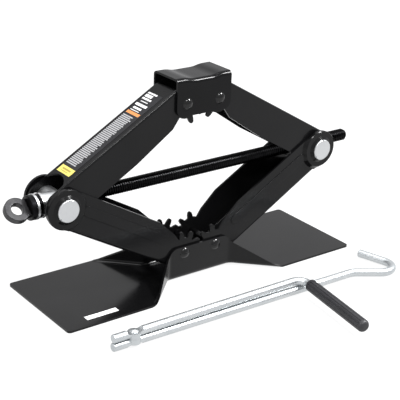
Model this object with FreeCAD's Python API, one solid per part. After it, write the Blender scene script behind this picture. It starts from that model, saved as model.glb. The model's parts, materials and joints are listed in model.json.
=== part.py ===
"""Scissor stabilizer jack with its folding hook crank.

Frame: millimetres, +Z up, +X along the lead screw from the drive eye to the nut, origin on the
ground under the middle of the base.  The jack is drawn part raised, at fold angle REST_FOLD.
"""
import FreeCAD, Part
import math
import os

V = FreeCAD.Vector
X_AXIS = V(1, 0, 0)
Y_AXIS = V(0, 1, 0)
Z_AXIS = V(0, 0, 1)
ORIGIN = V(0, 0, 0)

# ---- linkage: the sizes that set the jack's reach ------------------------------------------------
ARM_LENGTH = 180.0          # gear pin to trunnion
PIN_SPACING = 44.5          # between the two pins of the base, and of the saddle
REST_FOLD = 29.85           # degrees between an arm and the ground as drawn
BASE_PIN_HEIGHT = 32.0      # ground to the base pins

# ---- sheet metal ---------------------------------------------------------------------------------
SHEET = 2.5                 # thickness of every pressed part
SIDE_GAP = 0.5              # between one channel's side and the next
UPPER_ARM_WIDTH = 40.0      # over the sides of an upper arm; the others are built outwards from it
BEND_RADIUS = 3.6           # outside radius of an arm's two long bends
EAR_WALL = 10.1             # metal of a lower arm's round ear outside its trunnion
UPPER_EAR_WALL = 8.8        # the same for an upper arm
WEB_SETBACK = 0.3           # outside of every web, inside the round of the upper ear
FREE_EDGE_SETBACK = 0.5     # free edges of a lower arm, inside the round of its ear
UPPER_FREE_EDGE_SETBACK = 2.3
WINDOW_CLEARANCE = 2.3      # lower web's curved cut beyond the upper ear that turns inside it
WEB_END_GAP = 14.0          # a lower arm's web stops this far short of the gear pin
UPPER_WEB_END_GAP = 3.5
FREE_EDGE_STEP = 15.5       # centreline to the lower arm's free edge beside the gear
STEP_START = 24.0           # where the step begins and ends, from the gear pin
STEP_END = 52.0
UPPER_FREE_TIP = 15.0       # centreline to the upper arm's free edge beside its gear
UPPER_TAPER_START = 95.0    # from the trunnion
UPPER_TAPER_END = 29.0      # from the gear pin
EAR_STEP = 4.0              # a lower arm's ear stands this far out from its side
EAR_SLOPE = 3.7             # length of the slope from the side up to the ear
EAR_FLAT_MARGIN = 0.8       # ear's flat ends this far inside its round
EAR_LAP = 1.3               # dished ear runs into the side's plate
BOSS_STEP = 2.2             # boss round the trunnion, out from the ear
BOSS_LAND = 0.9             # flat rim of the boss, and the slope outside it
BOSS_SLOPE = 2.8
RIB_HEIGHT = 0.8            # long rib pressed into each side of a lower arm
RIB_ROUND = 0.56
RIB_START_WALL = 9.8        # from the trunnion's surface, so that the rib runs out of the ear
RIB_END_GAP = 32.0          # rib to the gear pin
RIB_WIDTH = 12.0
RIB_OFFSET = 6.0            # from the centreline towards the free edge

# ---- gear teeth ----------------------------------------------------------------------------------
TEETH_PER_TURN = 10
ADDENDUM_MODULES = 0.773    # tooth sizes, in modules
DEDENDUM_MODULES = 1.045
ROOT_WIDTH_MODULES = 1.6
PITCH_WIDTH_MODULES = 1.4
TIP_WIDTH_MODULES = 1.2
SADDLE_FIRST_TOOTH = -1.0   # degrees below the line of pins, left upper arm
BASE_FIRST_TOOTH = -10.0    # degrees above the line of pins, left lower arm
LOWER_TEETH_CUT = 4
UPPER_TEETH_CUT = 3
GEAR_START = -28.0          # degrees, ends of the toothed arc in the arm's own frame
HEEL_ANGLE = -62.0          # degrees, rounded corner between the web and the gear
LOWER_GEAR_END = 143.0
UPPER_GEAR_END = 150.0

# ---- pins and rivets -----------------------------------------------------------------------------
RUNNING = 0.08              # radial clearance of a turning joint
OPEN_PIVOT = 0.5            # radial clearance of the pivot that closes the linkage
RIVET_RADIUS = 5.0
RIVET_HEAD_LIP = 1.8        # head beyond the shank
RIVET_HEAD_HEIGHT = 3.4

# ---- base ----------------------------------------------------------------------------------------
BASE_LENGTH = 403.0
BASE_WIDTH = 133.0
WAIST_BEYOND_PIN = 22.5     # straight wall of the waist, beyond each pin
SLANT_LENGTH = 42.0         # slanting wall, measured along X
BASE_BEND_RADIUS = 6.5      # outside radius between floor and wall
WAIST_CORNER_RADIUS = 11.0
WING_INNER_RADIUS = 7.0
WING_OUTER_RADIUS = 4.0
WALL_ABOVE_PIN = 8.0        # level top edge over the pins
WALL_TOP_BEYOND_PIN = 16.0  # where the top edge begins to come down
WALL_SHOULDER_DROP = 9.4    # how far it has come down over the waist corner
WALL_FOOT_RADIUS = 20.0     # rounded corners of the wall's top edge
WALL_SHOULDER_RADIUS = 12.0
WALL_TOP_RADIUS = 12.0

# ---- saddle --------------------------------------------------------------------------------------
SADDLE_BEYOND_PIN = 14.8    # saddle's ends beyond its pins
SADDLE_RISE = 29.4          # pins to the top at both ends
SADDLE_DIP = 2.2            # how far the middle of the top is hollowed
SADDLE_LEDGE = 13.0         # level ledge at both ends of the top
SADDLE_DIP_SLOPE = 10.0     # length of the slope from a ledge down into the hollow
SADDLE_DIP_ROUND = 40.0     # rounding at both ends of that slope
SADDLE_SKIRT = 14.0         # pins to the bottom edges
SADDLE_BEND_RADIUS = 5.0
SADDLE_CORNER_RADIUS = 9.0
SADDLE_CUT_OVERSHOOT = 5.0  # the hollow's cutter runs this far past the ends

# ---- lead screw and its two trunnions ------------------------------------------------------------
TRUNNION_RADIUS = 12.7
TRUNNION_PROUD = 1.8        # trunnion end beyond the boss of the lower arm's ear
TRUNNION_CHAMFER = 0.6
STAKE_RADIUS = 1.3          # staking marks on the rim of each trunnion end
STAKE_DEPTH = 1.6
STAKE_ANGLES = (88.0, 216.0)
SCREW_RADIUS = 7.5
SCREW_PITCH = 3.0
THREAD_DEPTH = 1.3
THREAD_CLEARANCE = 0.35     # nut bore beyond the thread's crests
JOURNAL_TAIL = 1.9          # plain journal beyond the retaining ring
SCREW_TAIL = 63.5           # threaded end beyond the nut trunnion's axis
SCREW_POINT = 2.0
SLEEVE_WALL = 5.2           # the rings' outsides beyond the screw's
SLEEVE_REACH = 4.5          # sleeve's outer end beyond the trunnion's surface
RACE_WALL = 6.7
RACE_THICKNESS = 2.5
CAGE_WALL = 5.7
BALL_RADIUS = 2.0
BALL_CENTRE_WALL = 3.1
BALL_PLAY = 0.1
BALL_COUNT = 10
CAGE_FACE_GAP = 0.4
BALL_FACE_GAP = 0.3
COLLAR_WALL = 6.2
COLLAR_THICKNESS = 6.0
SOCKET_DEPTH = 4.6
EYE_STAND_OFF = 12.7        # collar to the centre of the drive eye
EYE_WALL = 7.4
EYE_HOLE_PLAY = 1.85        # round the crank's rod
EYE_THICKNESS = 8.0
EYE_NECK_WIDTH = 19.0
EYE_TURN = -50.0            # degrees about the screw, from upright with its flat faces across Y
EYE_EDGE_ROUND = 1.2
CROSS_PIN_RADIUS = 1.6
RETAINER_WALL = 3.0
RETAINER_THICKNESS = 2.0
RETAINER_GAP = 0.4
RETAINER_GROOVE = 1.0

# ---- crank ---------------------------------------------------------------------------------------
ROD_RADIUS = 4.75
ROD_GAP = 0.4               # between the two rods where they lie stacked
CRANK_PIVOT = V(-156.8, -122.6, 0)
HOOK_ROD_ANGLE = -1.25      # degrees from +X
CRANK_ARM_ANGLE = -0.4
ROD_STUB = 26.0             # rod end beyond the pivot
HOOK_STRAIGHT = 305.0       # pivot to the hook's first bend
HOOK_SLOPE = -33.0          # degrees from +X after the first bend
HOOK_REACH = 79.5           # first bend to the corner of the hook
HOOK_RETURN = 106.0         # degrees from +X of the returning end
HOOK_TIP = 81.0             # corner of the hook to the rod's end
HOOK_BEND_RADIUS = 22.0
HOOK_CROWN_RADIUS = 17.0
CRANK_THROW = 230.0         # pivot to the bend into the grip
GRIP_DIRECTION = -99.3      # degrees from +X of the grip
CRANK_BEND_RADIUS = 13.0
GRIP_BEND_GAP = 2.1         # end of the bend to the near end of the grip
GRIP_LENGTH = 107.0
GRIP_WALL = 2.4
GRIP_FLUTES = 12
FLUTE_RADIUS = 1.1
FLUTE_DEPTH = 0.6
FLUTE_END_GAP = 4.0         # plain mouth of the grip
GRIP_MOUTH_ROUND = 0.8
GRIP_TIP_ROUND = 5.0
GRIP_END_WALL = 6.0
GRIP_END_PLAY = 0.6
PAD_LIP = 2.45              # flattened pad at the pivot, beyond the rod
PAD_THICKNESS = 6.4
PAD_FLAT_LENGTH = 20.0
PAD_SHOULDER_RADIUS = 3.0
PAD_PLAY = 0.1
CRANK_RIVET_RADIUS = 3.2
CRANK_RIVET_HEAD_LIP = 1.6
CRANK_RIVET_HEAD_HEIGHT = 2.4
ROD_END_ROUND = 1.0

# ---- stickers ------------------------------------------------------------------------------------
LABEL_THICKNESS = 0.25
ARM_LABEL_START = 23.9      # along the arm from its trunnion
ARM_LABEL_END_GAP = 19.1    # to the gear pin
ARM_LABEL_WIDTH = 26.0
BASE_LABEL_END_GAP = 30.0   # to the base's left end
BASE_LABEL_EDGE_GAP = 11.0  # to the base's front edge
BASE_LABEL_LENGTH = 40.0
BASE_LABEL_WIDTH = 7.6

# ---- worked out from the sizes above -------------------------------------------------------------
FOLD = math.radians(REST_FOLD)
HALF_PINS = PIN_SPACING / 2
TRUNNION_X = HALF_PINS + ARM_LENGTH * math.cos(FOLD)
TRUNNION_Z = BASE_PIN_HEIGHT + ARM_LENGTH * math.sin(FOLD)
SADDLE_PIN_Z = BASE_PIN_HEIGHT + 2 * ARM_LENGTH * math.sin(FOLD)
UPPER_OUT = UPPER_ARM_WIDTH / 2
LOWER_OUT = UPPER_OUT + SIDE_GAP + SHEET
SADDLE_OUT = LOWER_OUT
BASE_OUT = LOWER_OUT + SIDE_GAP + SHEET
EAR_RADIUS = TRUNNION_RADIUS + EAR_WALL
UPPER_EAR_RADIUS = TRUNNION_RADIUS + UPPER_EAR_WALL
UPPER_WINDOW_RADIUS = UPPER_EAR_RADIUS
LOWER_WINDOW_RADIUS = UPPER_EAR_RADIUS + WINDOW_CLEARANCE
WEB_OFFSET = UPPER_EAR_RADIUS - WEB_SETBACK     # centreline of an arm to the outside of its web
FREE_EDGE = EAR_RADIUS - FREE_EDGE_SETBACK      # centreline to the free edges of its sides
UPPER_FREE_EDGE = UPPER_EAR_RADIUS - UPPER_FREE_EDGE_SETBACK
EAR_OUT = LOWER_OUT + EAR_STEP
BOSS_OUT = EAR_OUT + BOSS_STEP
EAR_FLAT_RADIUS = EAR_RADIUS - EAR_FLAT_MARGIN
EAR_FOOT_RADIUS = EAR_FLAT_RADIUS + EAR_SLOPE
MODULE = PIN_SPACING / TEETH_PER_TURN
ADDENDUM = ADDENDUM_MODULES * MODULE
DEDENDUM = DEDENDUM_MODULES * MODULE
TOOTH_ROOT_WIDTH = ROOT_WIDTH_MODULES * MODULE
TOOTH_PITCH_WIDTH = PITCH_WIDTH_MODULES * MODULE
TOOTH_TIP_WIDTH = TIP_WIDTH_MODULES * MODULE
PITCH_RADIUS = PIN_SPACING / 2
ROOT_RADIUS = PITCH_RADIUS - DEDENDUM
TIP_RADIUS = PITCH_RADIUS + ADDENDUM
TOOTH_STEP = 360.0 / TEETH_PER_TURN
WAIST_CORNER_X = HALF_PINS + WAIST_BEYOND_PIN
WING_CORNER_X = WAIST_CORNER_X + SLANT_LENGTH
WALL_HEIGHT = BASE_PIN_HEIGHT + WALL_ABOVE_PIN
SADDLE_LENGTH = PIN_SPACING + 2 * SADDLE_BEYOND_PIN
JOURNAL_BORE = SCREW_RADIUS + RUNNING
JOURNAL_END = TRUNNION_RADIUS + RETAINER_GAP + RETAINER_THICKNESS + JOURNAL_TAIL
SLEEVE_END = TRUNNION_RADIUS + SLEEVE_REACH
SLEEVE_RADIUS = SCREW_RADIUS + SLEEVE_WALL
RACE_RADIUS = SCREW_RADIUS + RACE_WALL
CAGE_RADIUS = SCREW_RADIUS + CAGE_WALL
BALL_CIRCLE = SCREW_RADIUS + BALL_CENTRE_WALL
COLLAR_RADIUS = SCREW_RADIUS + COLLAR_WALL
RETAINER_RADIUS = SCREW_RADIUS + RETAINER_WALL
EYE_HOLE_RADIUS = ROD_RADIUS + EYE_HOLE_PLAY
EYE_RADIUS = EYE_HOLE_RADIUS + EYE_WALL
CRANK_TURN = math.radians(CRANK_ARM_ANGLE - GRIP_DIRECTION)
GRIP_START = CRANK_BEND_RADIUS * math.tan(CRANK_TURN / 2) + GRIP_BEND_GAP
GRIP_RADIUS = ROD_RADIUS + GRIP_WALL
PAD_RADIUS = ROD_RADIUS + PAD_LIP
ROD_PARTING = 2 * ROD_RADIUS + ROD_GAP / 2      # height between the two stacked rods
UPPER_ROD_Z = 3 * ROD_RADIUS + ROD_GAP
FAR = 500.0                 # reaches past anything that a cutter has to clear
NEARLY = 0.98               # keeps a sliver of straight line between two arcs
INNER_OVERSHOOT = 30.0      # the base's hollow runs this far past its wings


# ---- drawing helpers -----------------------------------------------------------------------------
def line(start, end):
    return Part.makeLine(start, end)


def arc(start, middle, end):
    return Part.Arc(start, middle, end).toShape()


def polar(radius, degrees):
    """Point in the XZ plane, counted from +X towards +Z."""
    angle = math.radians(degrees)
    return V(radius * math.cos(angle), 0, radius * math.sin(angle))


def heading(degrees):
    """Unit direction in the XY plane, counted from +X towards +Y."""
    angle = math.radians(degrees)
    return V(math.cos(angle), math.sin(angle), 0)


def rounded_path(corners, radii, closed=True):
    """Edges through corners, each rounded by a tangent arc of its own radius (0 keeps it sharp)."""
    count = len(corners)
    entries, exits, middles = [], [], []
    for index in range(count):
        here = corners[index]
        radius = radii[index]
        if radius == 0 or (not closed and index in (0, count - 1)):
            entries.append(here)
            exits.append(here)
            middles.append(None)
            continue
        back = (corners[index - 1] - here).normalize()
        ahead = (corners[(index + 1) % count] - here).normalize()
        half_angle = back.getAngle(ahead) / 2
        reach = radius / math.tan(half_angle)
        entries.append(here + back * reach)
        exits.append(here + ahead * reach)
        inward = (back + ahead).normalize()
        middles.append(here + inward * (radius / math.sin(half_angle) - radius))
    edges = []
    for index in range(count):
        if middles[index] is not None:
            edges.append(arc(entries[index], middles[index], exits[index]))
        if index < count - 1 or closed:
            edges.append(line(exits[index], entries[(index + 1) % count]))
    return edges


def prism(edges, along):
    """Solid from a closed flat outline pushed along a vector."""
    return Part.Face(Part.Wire(edges)).extrude(along)


def across(edges, half_width):
    """Outline in the XZ plane pushed both ways to a total width of 2 * half_width."""
    solid = prism(edges, Y_AXIS * (2 * half_width))
    solid.translate(V(0, -half_width, 0))
    return solid


def y_cylinder(radius, half_length, x=0.0, z=0.0):
    return Part.makeCylinder(radius, 2 * half_length, V(x, -half_length, z), Y_AXIS)


def x_cylinder(radius, start, end, z=0.0):
    return Part.makeCylinder(radius, end - start, V(start, 0, z), X_AXIS)


def slab(half_width):
    """Everything between two planes either side of the XZ plane."""
    return Part.makeBox(2 * FAR, 2 * half_width, 2 * FAR, V(-FAR, -half_width, -FAR))


def button(base, direction, radius, height):
    """Domed head that stands on a flat face."""
    sphere_radius = (radius ** 2 + height ** 2) / (2 * height)
    centre = base - direction * (sphere_radius - height)
    ball = Part.makeSphere(sphere_radius, centre)
    return ball.common(Part.makeCylinder(radius, height * 2, base, direction))


def through_rivet(radius, head_lip, head_height, half_grip, place, axis):
    """Headed pin that clamps 2 * half_grip of material."""
    head_radius = radius + head_lip
    shank = Part.makeCylinder(radius, 2 * half_grip, place - axis * half_grip, axis)
    near = button(place - axis * half_grip, axis * -1, head_radius, head_height)
    far = button(place + axis * half_grip, axis, head_radius, head_height)
    return shank.fuse([near, far]).removeSplitter()


# ---- arms ----------------------------------------------------------------------------------------
# An arm is drawn lying along -X with its gear pin at the origin, its web below and its free
# edges above; that is a left lower arm before it is swung up to its fold angle.
def root_angle(width, radius):
    return math.degrees(math.asin(width / 2 / radius))


def tooth_edges(angle):
    """Left-handed walk over one rounded tooth whose centre line is at angle."""
    sides = []
    for sign in (-1, 1):
        root = polar(ROOT_RADIUS, angle + sign * root_angle(TOOTH_ROOT_WIDTH, ROOT_RADIUS))
        flank = polar(PITCH_RADIUS, angle + sign * root_angle(TOOTH_PITCH_WIDTH, PITCH_RADIUS))
        tip_radius = TIP_RADIUS - TOOTH_TIP_WIDTH / 2
        tip = polar(tip_radius, angle + sign * root_angle(TOOTH_TIP_WIDTH, tip_radius))
        sides.append((root, flank, tip))
    first, last = sides
    return [
        line(first[0], first[1]),
        line(first[1], first[2]),
        arc(first[2], polar(TIP_RADIUS, angle), last[2]),
        line(last[2], last[1]),
        line(last[1], last[0]),
    ]


def gear_edges(tooth_angles, end_angle):
    """Root arcs and teeth from GEAR_START round to end_angle."""
    half_root = root_angle(TOOTH_ROOT_WIDTH, ROOT_RADIUS)
    edges = []
    angle = GEAR_START
    for tooth in tooth_angles:
        stop = tooth - half_root
        middle = polar(ROOT_RADIUS, (angle + stop) / 2)
        edges.append(arc(polar(ROOT_RADIUS, angle), middle, polar(ROOT_RADIUS, stop)))
        edges += tooth_edges(tooth)
        angle = tooth + half_root
    middle = polar(ROOT_RADIUS, (angle + end_angle) / 2)
    edges.append(arc(polar(ROOT_RADIUS, angle), middle, polar(ROOT_RADIUS, end_angle)))
    return edges


def side_outline(tooth_angles, ear_radius, free_edge, gear_end, free_points):
    """Closed outline of an arm's side plate."""
    web_x = -ARM_LENGTH + math.sqrt(ear_radius ** 2 - WEB_OFFSET ** 2)
    free_x = -ARM_LENGTH + math.sqrt(ear_radius ** 2 - free_edge ** 2)
    heel = V(-WEB_OFFSET / 4, 0, -WEB_OFFSET)
    heel_middle = polar((ROOT_RADIUS + WEB_OFFSET) / 2, HEEL_ANGLE)
    edges = [line(V(web_x, 0, -WEB_OFFSET), heel)]
    edges.append(arc(heel, heel_middle, polar(ROOT_RADIUS, GEAR_START)))
    edges += gear_edges(tooth_angles, gear_end)
    points = [polar(ROOT_RADIUS, gear_end)] + free_points + [V(free_x, 0, free_edge)]
    for start, end in zip(points, points[1:]):
        edges.append(line(start, end))
    ear_end = V(-ARM_LENGTH - ear_radius, 0, 0)
    edges.append(arc(V(free_x, 0, free_edge), ear_end, V(web_x, 0, -WEB_OFFSET)))
    return edges


def channel(half_width):
    """Long U section with rounded bends, open upwards."""
    outer = Part.makeBox(2 * FAR, 2 * half_width, FAR, V(-FAR, -half_width, -WEB_OFFSET))
    inner_half = half_width - SHEET
    inner = Part.makeBox(2 * FAR, 2 * inner_half, FAR, V(-FAR, -inner_half, SHEET - WEB_OFFSET))
    outer = outer.makeFillet(BEND_RADIUS, long_edges(outer, -WEB_OFFSET))
    inner = inner.makeFillet(BEND_RADIUS - SHEET, long_edges(inner, SHEET - WEB_OFFSET))
    return outer.cut(inner)


def long_edges(box, z):
    """The two edges of a box that run along X at height z."""
    chosen = []
    for edge in box.Edges:
        bound = edge.BoundBox
        if bound.XLength > FAR and abs(bound.ZMin - z) < 1e-6 and abs(bound.ZMax - z) < 1e-6:
            chosen.append(edge)
    return chosen


def arm_blank(outline, half_width, window_radius, web_end_gap, pin_clearance):
    """Channel trimmed to the side outline, with both ends of its web cleared and its pin hole."""
    arm = across(outline, half_width).common(channel(half_width))
    inside = slab(half_width - SHEET)
    window = Part.makeCylinder(window_radius, 2 * FAR, V(-ARM_LENGTH, 0, -FAR), Z_AXIS)
    arm = arm.cut(window.common(inside))
    tail = Part.makeBox(FAR, 2 * (half_width - SHEET), 2 * FAR,
                        V(-web_end_gap, SHEET - half_width, -FAR))
    arm = arm.cut(tail)
    return arm.cut(y_cylinder(RIVET_RADIUS + pin_clearance, FAR))


def trunnion_hole():
    return y_cylinder(TRUNNION_RADIUS + RUNNING, FAR, x=-ARM_LENGTH)


def dished_ears(outline):
    """Both ears of a lower arm: a plate set out from the side on a slope, with a boss in its middle."""
    inside = LOWER_OUT - SHEET
    shift = EAR_SLOPE * SHEET / math.hypot(EAR_SLOPE, EAR_STEP) / 2
    profile = [
        (0, BOSS_OUT), (TRUNNION_RADIUS + BOSS_LAND, BOSS_OUT),
        (TRUNNION_RADIUS + BOSS_LAND + BOSS_SLOPE, EAR_OUT), (EAR_FLAT_RADIUS, EAR_OUT),
        (EAR_FOOT_RADIUS, LOWER_OUT), (EAR_FOOT_RADIUS + EAR_LAP, LOWER_OUT),
        (EAR_FOOT_RADIUS + EAR_LAP, inside), (EAR_FOOT_RADIUS - shift, inside),
        (EAR_FLAT_RADIUS - shift, EAR_OUT - SHEET), (0, EAR_OUT - SHEET),
    ]
    corners = [V(radius, y, 0) for radius, y in profile]
    dish = Part.Face(Part.makePolygon(corners + corners[:1])).revolve(ORIGIN, Y_AXIS, 360)
    dish.translate(V(-ARM_LENGTH, 0, 0))
    dish = dish.common(across(outline, FAR))
    return [dish, dish.mirror(ORIGIN, Y_AXIS)]


def ribs():
    """Long shallow rib on both sides of a lower arm."""
    half_rib = RIB_WIDTH / 2
    far = TRUNNION_RADIUS + RIB_START_WALL - ARM_LENGTH
    near = -RIB_END_GAP
    low = RIB_OFFSET - half_rib
    high = RIB_OFFSET + half_rib
    corners = [V(far, 0, low), V(near, 0, low), V(near, 0, high), V(far, 0, high)]
    rib = prism(rounded_path(corners, [half_rib * NEARLY] * 4), Y_AXIS * RIB_HEIGHT)
    rim = [edge for edge in rib.Edges if edge.BoundBox.YMin > RIB_HEIGHT / 2]
    rib = rib.makeFillet(RIB_ROUND, rim)
    rib.translate(V(0, LOWER_OUT, 0))
    return [rib, rib.mirror(ORIGIN, Y_AXIS)]


def lower_arm(first_tooth):
    angles = [first_tooth + REST_FOLD + TOOTH_STEP * index for index in range(LOWER_TEETH_CUT)]
    free_points = [V(-STEP_START, 0, FREE_EDGE_STEP), V(-STEP_END, 0, FREE_EDGE)]
    outline = side_outline(angles, EAR_RADIUS, FREE_EDGE, LOWER_GEAR_END, free_points)
    arm = arm_blank(outline, LOWER_OUT, LOWER_WINDOW_RADIUS, WEB_END_GAP, RUNNING)
    flat_ears = y_cylinder(EAR_FOOT_RADIUS, FAR, x=-ARM_LENGTH).cut(slab(LOWER_OUT - BEND_RADIUS))
    arm = arm.cut(flat_ears)
    arm = arm.fuse(dished_ears(outline) + ribs()).removeSplitter()
    return arm.cut(trunnion_hole())


def upper_arm(first_tooth, pin_clearance):
    angles = [first_tooth + REST_FOLD + TOOTH_STEP * index for index in range(UPPER_TEETH_CUT)]
    taper_start = UPPER_TAPER_START - ARM_LENGTH
    free_points = [V(-UPPER_TAPER_END, 0, UPPER_FREE_TIP), V(taper_start, 0, UPPER_FREE_EDGE)]
    outline = side_outline(angles, UPPER_EAR_RADIUS, UPPER_FREE_EDGE, UPPER_GEAR_END, free_points)
    arm = arm_blank(outline, UPPER_OUT, UPPER_WINDOW_RADIUS, UPPER_WEB_END_GAP, pin_clearance)
    return arm.cut(trunnion_hole()).mirror(ORIGIN, Z_AXIS)


def swing(shape, degrees, pin_z):
    """Turn a left arm about its gear pin and put the pin in its place."""
    moved = shape.copy()
    moved.rotate(ORIGIN, Y_AXIS, degrees)
    moved.translate(V(-HALF_PINS, 0, pin_z))
    return moved


def arms():
    half_step = TOOTH_STEP / 2
    lower_left = swing(lower_arm(BASE_FIRST_TOOTH), REST_FOLD, BASE_PIN_HEIGHT)
    lower_right = swing(lower_arm(BASE_FIRST_TOOTH - half_step), REST_FOLD, BASE_PIN_HEIGHT)
    upper_left = swing(upper_arm(SADDLE_FIRST_TOOTH, RUNNING), -REST_FOLD, SADDLE_PIN_Z)
    upper_right = upper_arm(SADDLE_FIRST_TOOTH - half_step, OPEN_PIVOT)
    upper_right = swing(upper_right, -REST_FOLD, SADDLE_PIN_Z)
    return {
        "lower_left_arm": lower_left,
        "lower_right_arm": lower_right.mirror(ORIGIN, X_AXIS),
        "upper_left_arm": upper_left,
        "upper_right_arm": upper_right.mirror(ORIGIN, X_AXIS),
    }


# ---- base ----------------------------------------------------------------------------------------
def bow_tie(inset, overshoot, wing_radius, end_radius):
    """Plan of the base: two wings and a narrow waist, its waist drawn in by inset."""
    half_length = BASE_LENGTH / 2 + overshoot
    half_width = BASE_WIDTH / 2
    waist = BASE_OUT - inset
    slope = V(WING_CORNER_X - WAIST_CORNER_X, half_width - BASE_OUT, 0)
    shift = inset * (slope.Length - slope.x) / slope.y
    waist_x = WAIST_CORNER_X + shift
    wing_x = waist_x + (half_width + overshoot - waist) * slope.x / slope.y
    edge = half_width + overshoot
    quarter = [(wing_x, edge), (half_length, edge)]
    corners = []
    for x, y in quarter:
        corners.append(V(x, y, 0))
    for x, y in reversed(quarter):
        corners.append(V(x, -y, 0))
    corners += [V(waist_x, -waist, 0), V(-waist_x, -waist, 0)]
    for x, y in quarter:
        corners.append(V(-x, -y, 0))
    for x, y in reversed(quarter):
        corners.append(V(-x, y, 0))
    corners += [V(-waist_x, waist, 0), V(waist_x, waist, 0)]
    waist_radius = WAIST_CORNER_RADIUS + inset
    half_radii = [wing_radius, end_radius, end_radius, wing_radius, waist_radius, waist_radius]
    return rounded_path(corners, half_radii * 2)


def waist_edges(solid, z):
    """Bottom edges of the slanting and straight walls."""
    chosen = []
    for edge in solid.Edges:
        bound = edge.BoundBox
        level = abs(bound.ZMin - z) < 1e-6 and abs(bound.ZMax - z) < 1e-6
        reach = max(abs(bound.XMin), abs(bound.XMax))
        if level and reach < BASE_LENGTH / 2 - WING_OUTER_RADIUS * 2:
            if min(abs(bound.YMin), abs(bound.YMax)) < BASE_WIDTH / 2 - WING_INNER_RADIUS:
                chosen.append(edge)
    return chosen


def wall_profile():
    """Side view of the base: level wings, walls that rise over the waist."""
    half_length = BASE_LENGTH / 2
    low, high = SHEET, WALL_HEIGHT
    right = [V(half_length + 1, 0, 0), V(half_length + 1, 0, low), V(WING_CORNER_X, 0, low),
             V(WAIST_CORNER_X, 0, high - WALL_SHOULDER_DROP),
             V(HALF_PINS + WALL_TOP_BEYOND_PIN, 0, high)]
    corners = [V(-p.x, 0, p.z) for p in right] + [V(p.x, 0, p.z) for p in reversed(right)]
    half_radii = [0, 0, WALL_FOOT_RADIUS, WALL_SHOULDER_RADIUS, WALL_TOP_RADIUS]
    return rounded_path(corners, half_radii + half_radii[::-1])


def base_plate():
    outer = prism(bow_tie(0.0, 0.0, 0.0, 0.0), Z_AXIS * WALL_HEIGHT)
    outer = outer.makeFillet(BASE_BEND_RADIUS, waist_edges(outer, 0.0))
    inner = prism(bow_tie(SHEET, INNER_OVERSHOOT, 0.0, 0.0), Z_AXIS * WALL_HEIGHT)
    inner.translate(V(0, 0, SHEET))
    inner = inner.makeFillet(BASE_BEND_RADIUS - SHEET, waist_edges(inner, SHEET))
    shell = outer.cut(inner)
    shell = shell.common(across(wall_profile(), BASE_WIDTH))
    blank = prism(bow_tie(0.0, 0.0, WING_INNER_RADIUS, WING_OUTER_RADIUS), Z_AXIS * WALL_HEIGHT)
    shell = shell.common(blank)
    for x in (-HALF_PINS, HALF_PINS):
        shell = shell.cut(y_cylinder(RIVET_RADIUS, FAR, x=x, z=BASE_PIN_HEIGHT))
    return shell


# ---- saddle --------------------------------------------------------------------------------------
def saddle_outline(drop, skirt, half_length, corner_radius):
    """Side view of the saddle, its hollowed top lowered by drop, about the line of pins."""
    top = SADDLE_RISE - drop
    ledge = SADDLE_LENGTH / 2 - SADDLE_LEDGE
    hollow = ledge - SADDLE_DIP_SLOPE
    floor = top - SADDLE_DIP
    right = [V(half_length, 0, -skirt), V(half_length, 0, top), V(ledge, 0, top), V(hollow, 0, floor)]
    corners = right + [V(-p.x, 0, p.z) for p in reversed(right)]
    half_radii = [corner_radius, 0, SADDLE_DIP_ROUND, SADDLE_DIP_ROUND]
    return rounded_path(corners, half_radii + half_radii[::-1])


def top_edges(solid):
    """The edges along both sides of the saddle's hollowed top."""
    chosen = []
    for edge in solid.Edges:
        bound = edge.BoundBox
        if bound.ZMin > SADDLE_RISE / 2 and bound.XLength > 1e-6 and bound.YLength < 1e-6:
            chosen.append(edge)
    return chosen


def saddle():
    half_length = SADDLE_LENGTH / 2
    outer = across(saddle_outline(0.0, SADDLE_SKIRT, half_length, SADDLE_CORNER_RADIUS), SADDLE_OUT)
    outer = outer.makeFillet(SADDLE_BEND_RADIUS, top_edges(outer))
    inner_half = SADDLE_OUT - SHEET
    inner_skirt = SADDLE_SKIRT + SADDLE_CUT_OVERSHOOT
    inner_length = half_length + SADDLE_CUT_OVERSHOOT
    inner = across(saddle_outline(SHEET, inner_skirt, inner_length, 0.0), inner_half)
    inner = inner.makeFillet(SADDLE_BEND_RADIUS - SHEET, top_edges(inner))
    shell = outer.cut(inner)
    for x in (-HALF_PINS, HALF_PINS):
        shell = shell.cut(y_cylinder(RIVET_RADIUS, FAR, x=x))
    shell.translate(V(0, 0, SADDLE_PIN_Z))
    return shell


def rivets():
    made = {}
    for side, x in (("left", -HALF_PINS), ("right", HALF_PINS)):
        low = V(x, 0, BASE_PIN_HEIGHT)
        high = V(x, 0, SADDLE_PIN_Z)
        made["base_rivet_" + side] = through_rivet(
            RIVET_RADIUS, RIVET_HEAD_LIP, RIVET_HEAD_HEIGHT, BASE_OUT, low, Y_AXIS)
        made["saddle_rivet_" + side] = through_rivet(
            RIVET_RADIUS, RIVET_HEAD_LIP, RIVET_HEAD_HEIGHT, SADDLE_OUT, high, Y_AXIS)
    return made


# ---- screw, trunnions and thrust bearing ---------------------------------------------------------
def trunnion(x, bore):
    """Round cross bar with the screw's bore through its middle and staked ends."""
    half_length = BOSS_OUT + TRUNNION_PROUD
    bar = y_cylinder(TRUNNION_RADIUS, half_length)
    bar = bar.makeChamfer(TRUNNION_CHAMFER, [e for e in bar.Edges if e.BoundBox.YLength < 1e-6])
    for angle in STAKE_ANGLES:
        for end in (-1, 1):
            mark = polar(TRUNNION_RADIUS, angle) + Y_AXIS * (end * half_length)
            bar = bar.cut(Part.makeCylinder(STAKE_RADIUS, STAKE_DEPTH, mark, Y_AXIS * -end))
    bar = bar.cut(x_cylinder(bore, -FAR, FAR))
    bar.translate(V(x, 0, TRUNNION_Z))
    return bar


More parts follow.
